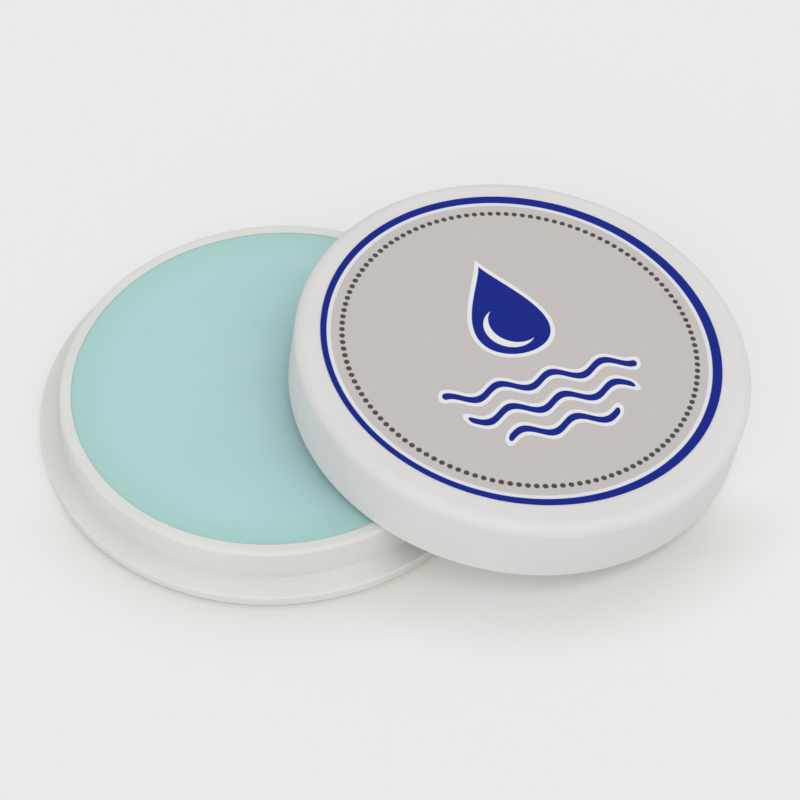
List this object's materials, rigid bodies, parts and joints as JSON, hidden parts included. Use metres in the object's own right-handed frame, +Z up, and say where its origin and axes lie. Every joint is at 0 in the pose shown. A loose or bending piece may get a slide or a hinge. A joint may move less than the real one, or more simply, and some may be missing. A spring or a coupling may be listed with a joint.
{
  "type": "finger moistener",
  "caption": "Round white pot of pale aqua fingertip-moistening paste with a foot flange, its push-on lid with a round label leaning on the rim.",
  "frame": {"origin": "centre of the pot's base, on the surface it stands on", "axes": "+Z up along the pot's axis, +X from the pot to the leaning lid"},
  "size_m": [0.0889, 0.06, 0.0167],
  "materials": {
    "pot_plastic": "satin",
    "moistening_paste": "satin",
    "lid_plastic": "satin",
    "label_paper": "satin"
  },
  "bodies": {
    "pot_body": {"pot": "pot_plastic", "paste": "moistening_paste"},
    "lid_body": {"lid": "lid_plastic", "lid_label": "label_paper"}
  },
  "joints": [
    {"name": "lid_lift", "type": "slide", "parent": "pot_body", "child": "lid_body", "axis": [0, 0, 1], "range_m": [0, 0.06]}
  ]
}
